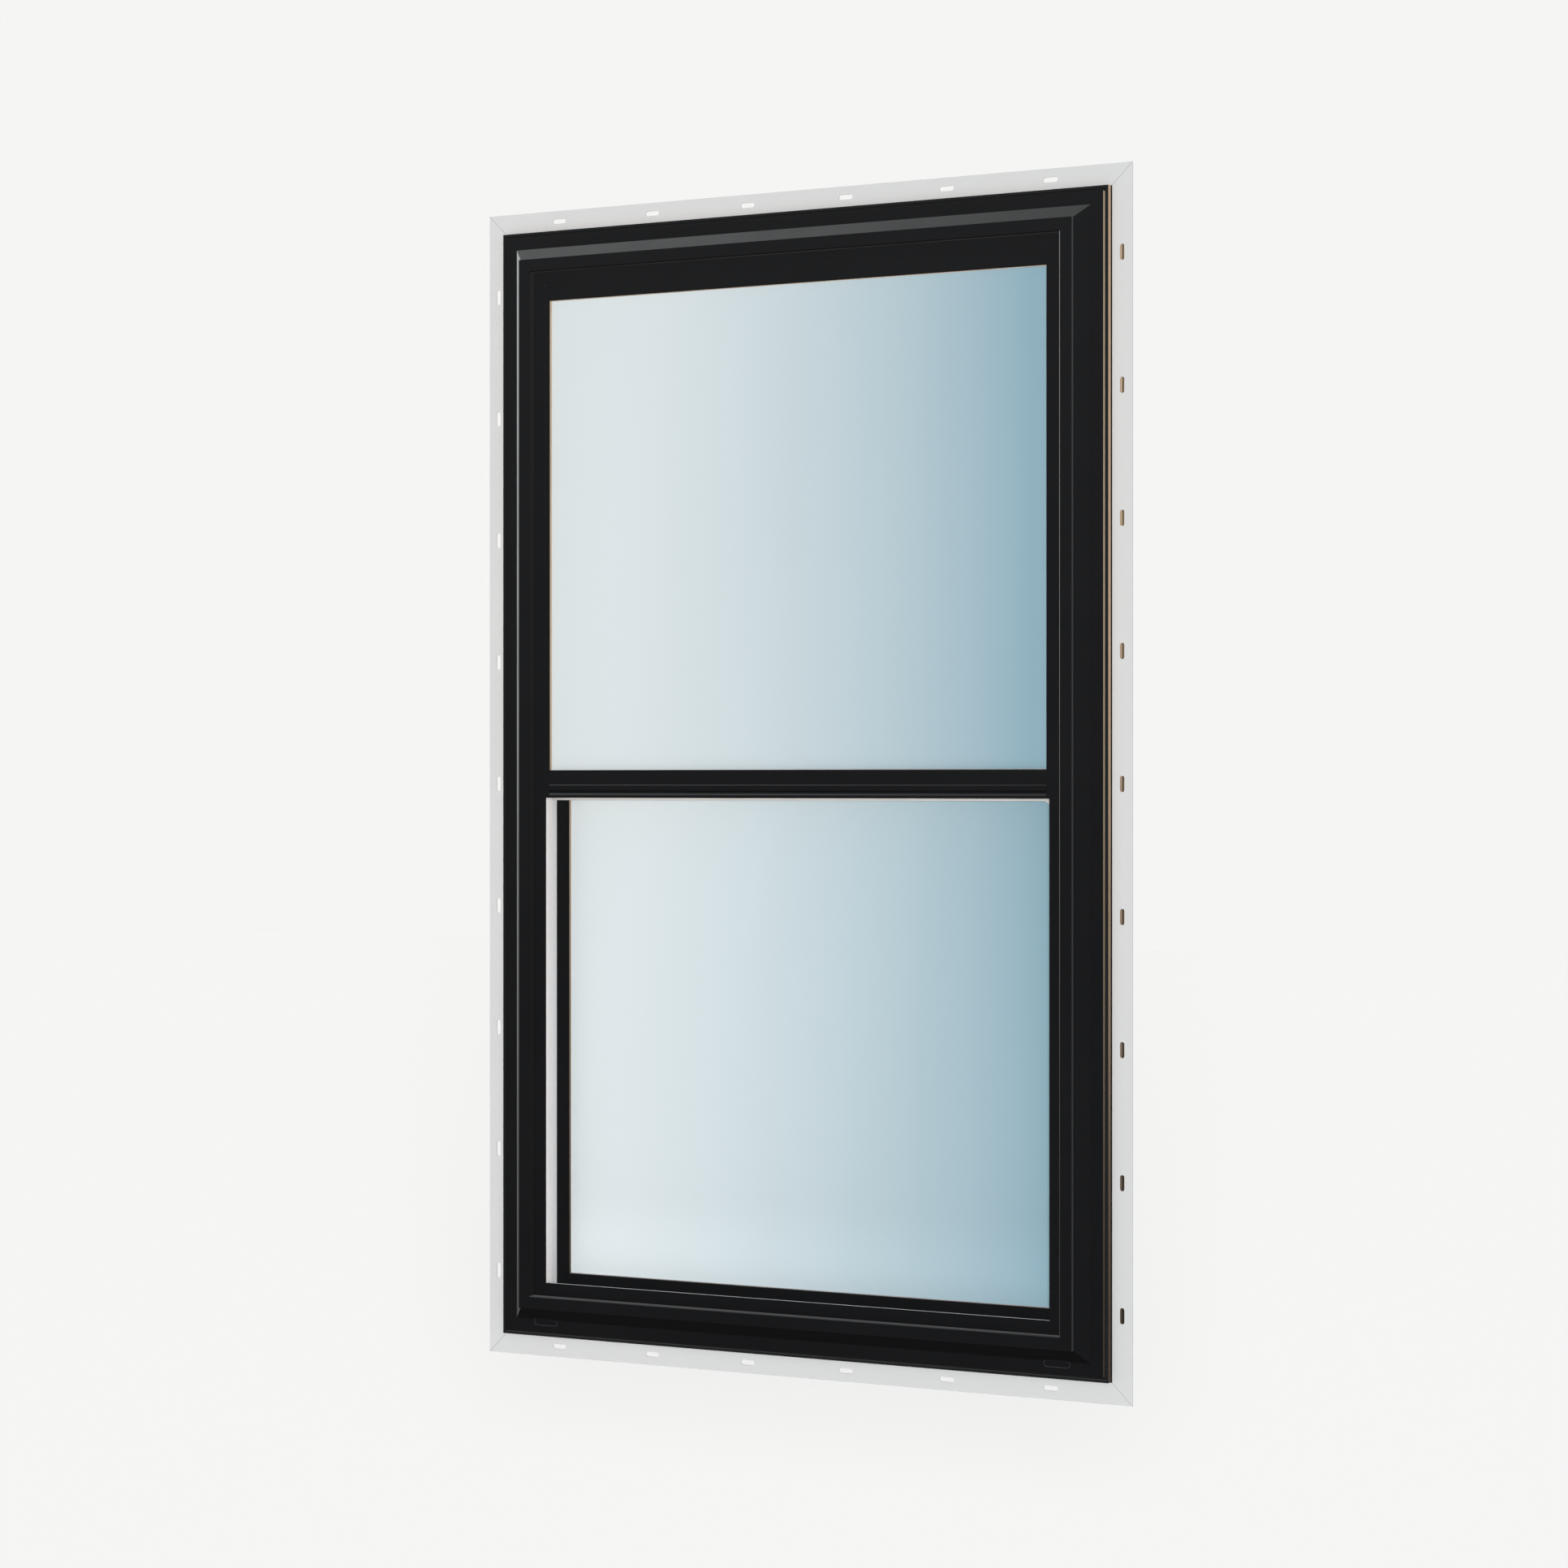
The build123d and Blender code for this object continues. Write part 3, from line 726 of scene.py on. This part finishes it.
def make_screws():
    """Screws of the lock parts on top of the check rails."""
    nickel = bpy.data.materials["satin_nickel"]
    places = []
    low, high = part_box("sash_lock")
    middle = Vector((0.0, (low.y + high.y) / 2, low.z))
    places += [middle + Vector((side * LOCK_SCREW_REACH, 0, LOCK_PLATE)) for side in (-1, 1)]
    low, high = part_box("lock_keeper")
    middle = Vector((0.0, (low.y + high.y) / 2, high.z))
    places += [middle + Vector((side * KEEPER_SCREW_REACH, 0, 0)) for side in (-1, 1)]
    for side, sign in SIDES:
        low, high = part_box("tilt_latch_" + side)
        outer = low.x if sign < 0 else high.x
        across = outer - sign * LATCH_SCREW_INSET
        places.append(Vector((across, (low.y + high.y) / 2, low.z + LATCH_PLATE)))
    shape = bmesh.new()
    for index, place in enumerate(places):
        screw_head(shape, place, SCREW_TURN * index)
    add_piece("lock_screws", shape, nickel, smooth=False)


# Finger ribs of the tilt latches
RIB_COUNT = 4
RIB_PITCH = 0.0024
RIB_RADIUS = 0.0007
RIB_STEPS = 6
RIB_END_MARGIN = 0.003
THUMB_PAD_INSET = 0.012


def make_latch_ribs():
    """Finger ribs across the thumb pad of each tilt latch."""
    nickel = bpy.data.materials["satin_nickel"]
    arc = [math.radians(180 * step / RIB_STEPS) for step in range(RIB_STEPS + 1)]
    section = [(RIB_RADIUS * math.cos(angle), RIB_RADIUS * math.sin(angle)) for angle in arc]
    for side, sign in SIDES:
        low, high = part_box("tilt_latch_" + side)
        inner = high.x if sign < 0 else low.x
        pad = inner + sign * THUMB_PAD_INSET
        ends = (low.y + RIB_END_MARGIN, high.y - RIB_END_MARGIN)
        shape = bmesh.new()
        for index in range(RIB_COUNT):
            x = pad + (index - (RIB_COUNT - 1) / 2) * RIB_PITCH
            add_bar(shape, [[(x + across, end, high.z + rise) for across, rise in section] for end in ends])
        add_piece("latch_ribs_" + side, shape, nickel)


# Pad at the end of the strip under the check rail: place across, and height from the strip's underside
PAD_OUTLINE = [
    (0.352, 0),
    (0.355, -0.0016),
    (0.3575, -0.0032),
    (0.359, -0.0034),
    (0.372, -0.0034),
    (0.372, 0),
]


def make_strip_pad():
    """Small pad at the end of the strip under the check rail, where it meets the right track."""
    low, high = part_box("check_rail_weatherstrip")
    shape = bmesh.new()
    add_bar(shape, [[(x, depth, low.z + z) for x, z in PAD_OUTLINE] for depth in (low.y, high.y)])
    add_piece("weatherstrip_pad", shape, bpy.data.materials["strip_vinyl"], smooth=False)


# Rounded edge of the stops, which their feet continue
STOP_ROUND = 0.003
STOP_ROUND_STEPS = 6


def make_stop_feet():
    """Wood foot that fills the corner between the mitred end of each stop and the stool."""
    frame_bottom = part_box("sill")[0].z
    wood = bpy.data.materials["pine_stop_upright"]
    for side, sign in SIDES:
        low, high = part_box("interior_stop_" + side)
        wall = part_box("jamb_" + side)[1].x if sign > 0 else -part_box("jamb_" + side)[0].x
        reach = wall - (low.x if sign > 0 else -high.x)
        start = low.z - frame_bottom
        edge = [(reach, low.y)]
        for step in range(STOP_ROUND_STEPS + 1):
            angle = math.radians(90 * step / STOP_ROUND_STEPS)
            across = reach - STOP_ROUND * (1 - math.cos(angle))
            edge.append((across, high.y - STOP_ROUND * (1 - math.sin(angle))))
        shape = bmesh.new()
        tips = [shape.verts.new((sign * (wall - start), depth, low.z)) for depth in (high.y, low.y)]
        feet = [shape.verts.new((sign * (wall - across), depth, low.z)) for across, depth in edge]
        heads = []
        for across, depth in edge:
            heads.append(shape.verts.new((sign * (wall - across), depth, frame_bottom + across)))
        for index in range(len(edge) - 1):
            shape.faces.new((feet[index], feet[index + 1], heads[index + 1], heads[index]))
        shape.faces.new(feet + tips)
        shape.faces.new(heads + tips)
        shape.faces.new((tips[0], feet[-1], heads[-1]))
        shape.faces.new((tips[1], feet[0], heads[0]))
        add_piece("stop_foot_" + side, shape, wood, smooth=False)


# Plug in the glass groove at the top of the lower stiles, and the lid over the joint behind it
PLUG_DEPTH = 0.006
LID_RISE = 0.00005


def make_stile_plugs():
    """End of the rail in the top of each lower stile: a plug in the glass groove, and a lid behind it."""
    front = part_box("lower_outer_pane")[0].y
    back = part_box("lower_inner_pane")[1].y
    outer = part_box("lower_outer_pane")[1].x
    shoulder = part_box("lower_stile_right")[0].x
    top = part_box("lower_stile_right")[1].z
    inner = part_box("lower_check_rail")[1].x
    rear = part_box("lower_check_rail")[1].y
    wood = bpy.data.materials["lower_pine_level"]
    plug = [(inner, front), (outer, front), (outer, back), (inner, back)]
    lid = [(shoulder, back), (inner, back), (inner, rear), (shoulder, rear)]
    for side, sign in SIDES:
        shape = bmesh.new()
        for outline, bottom, rise in ((plug, top - PLUG_DEPTH, 0.0), (lid, top - LID_RISE, LID_RISE)):
            add_bar(shape, [[(sign * x, y, z) for x, y in outline] for z in (bottom, top + rise)])
        add_piece("stile_plug_" + side, shape, wood, smooth=False)


def make_camera():
    """Camera of the photograph, level with the middle of the window."""
    data = bpy.data.cameras.new("camera")
    data.sensor_width = SENSOR
    data.lens = SENSOR * FOCAL_PIXELS / PHOTO_SIDE
    data.clip_end = CAMERA_REACH
    camera = bpy.data.objects.new("camera", data)
    camera.location = Vector((0, 0, MID_HEIGHT)) + CAMERA_OFFSET
    camera.rotation_euler = (math.radians(90), 0, math.radians(CAMERA_AZIMUTH))
    bpy.context.scene.collection.objects.link(camera)
    bpy.context.scene.camera = camera


def make_floor():
    """Pale floor well below the window, which hangs at its usual height; it keeps the window's shadow."""
    mesh = bpy.data.meshes.new("floor")
    half = FLOOR_SIZE / 2
    level = CAD_BOX[0].z - FLOOR_DROP
    corners = [(-half, -half, level), (half, -half, level), (half, half, level), (-half, half, level)]
    mesh.from_pydata(corners, [], [(0, 1, 2, 3)])
    floor = bpy.data.objects.new("floor", mesh)
    bpy.context.scene.collection.objects.link(floor)
    material = bpy.data.materials.new("floor_pale")
    tree = Tree(material)
    even = FLOOR_COLOUR * (FILL + SIDE_ON_FLOOR * SIDE_GLOW - BACK_AIM.z * BACK_LEVEL / math.pi)
    away = tree.vector_math("DISTANCE", tree.place(), KEY_PLACE)
    near = FLOOR_COLOUR * KEY_LEVEL * (KEY_PLACE.z - level) / math.pi
    rest = tree.math("SUBTRACT", BACKGROUND[0] - even, tree.math("DIVIDE", near, away.outputs["Value"]))
    matte = tree.add("ShaderNodeBsdfDiffuse", Color=rgba((FLOOR_COLOUR,) * 3))
    tint = rgba([part / BACKGROUND[0] for part in BACKGROUND])
    glow = tree.add("ShaderNodeEmission", Color=tint, Strength=rest)
    both = tree.fill(tree.add("ShaderNodeAddShader"), matte.outputs[0], glow.outputs[0])
    seen = tree.add("ShaderNodeLightPath").outputs["Is Camera Ray"]
    output = tree.add("ShaderNodeOutputMaterial")
    tree.put(output.inputs["Surface"], tree.blend_shaders(seen, matte.outputs[0], both.outputs[0]))
    mesh.materials.append(material)


def make_world():
    """Even pale studio; shiny surfaces see it dim ahead, bright overhead and far to the left, dark below."""
    world = bpy.data.worlds.new("studio")
    bpy.context.scene.world = world
    tree = Tree(world)
    path = tree.add("ShaderNodeLightPath")
    aim = tree.split(tree.add("ShaderNodeTexCoord").outputs["Generated"])
    low = tree.between(aim["Z"], *SHINE_BELOW, "LINEAR")
    high = tree.between(aim["Z"], *SHINE_ABOVE, "LINEAR")
    top = tree.between(aim["Z"], *SHINE_TOP)
    top = tree.math("MULTIPLY", top, tree.between(aim["X"], *TOP_ACROSS, "LINEAR"))
    behind = tree.between(aim["Y"], *LEFT_BEHIND)
    side = tree.between(aim["X"], *LEFT_ACROSS)
    rising = tree.math("POWER", tree.between(aim["Z"], *LEFT_RISE, curve="LINEAR"), LEFT_RISE_POWER)
    left = tree.math("MULTIPLY", side, rising)
    left = tree.math("MULTIPLY", left, behind)
    level = tree.math("ADD", tree.math("ADD", low, high), tree.math("ADD", top, left))
    glow = tree.between(tree.math("ABSOLUTE", aim["X"]), *SIDE_SPAN, 0.0, SIDE_GLOW)
    fill = tree.add("ShaderNodeBackground", Color=rgba(WHITE), Strength=tree.math("ADD", glow, FILL))
    shine = tree.add("ShaderNodeBackground", Color=rgba(SHINE_TINT), Strength=level)
    plain = tree.add("ShaderNodeBackground", Color=rgba(BACKGROUND), Strength=1.0)
    lit = tree.blend_shaders(path.outputs["Is Glossy Ray"], fill.outputs[0], shine.outputs[0])
    direct = tree.math("MAXIMUM", path.outputs["Is Camera Ray"], path.outputs["Is Transmission Ray"])
    output = tree.add("ShaderNodeOutputWorld")
    tree.put(output.inputs["Surface"], tree.blend_shaders(direct, lit, plain.outputs[0]))


def make_lamps():
    """Key lamp outdoors, even over the whole window, and a softer light from behind for the side indoors."""
    data = bpy.data.lights.new("key", "POINT")
    data.energy = KEY_LEVEL * 4 * math.pi
    data.shadow_soft_size = KEY_RADIUS
    tree = Tree(data)
    falloff = tree.add("ShaderNodeLightFalloff", Strength=1.0)
    glow = tree.add("ShaderNodeEmission", Strength=falloff.outputs["Constant"])
    tree.put(tree.add("ShaderNodeOutputLight").inputs["Surface"], glow.outputs[0])
    key = bpy.data.objects.new("key", data)
    key.location = KEY_PLACE
    data = bpy.data.lights.new("back", "SUN")
    data.energy = BACK_LEVEL
    data.angle = math.radians(BACK_SPREAD)
    back = bpy.data.objects.new("back", data)
    back.rotation_euler = BACK_AIM.to_track_quat("-Z", "Y").to_euler()
    for lamp in (key, back):
        bpy.context.scene.collection.objects.link(lamp)


def clear_reflections():
    """The gloss shows the studio alone, so that the dark faces keep an even tone."""
    for piece in bpy.context.scene.objects:
        piece.visible_glossy = False


bpy.context.scene.view_settings.view_transform = "Standard"
dress_black()
dress_wood()
dress_rest()
make_beads()
make_sill_highlight()
make_weep_rims()
make_screws()
make_latch_ribs()
make_strip_pad()
make_stop_feet()
make_stile_plugs()
make_camera()
make_floor()
make_world()
make_lamps()
clear_reflections()
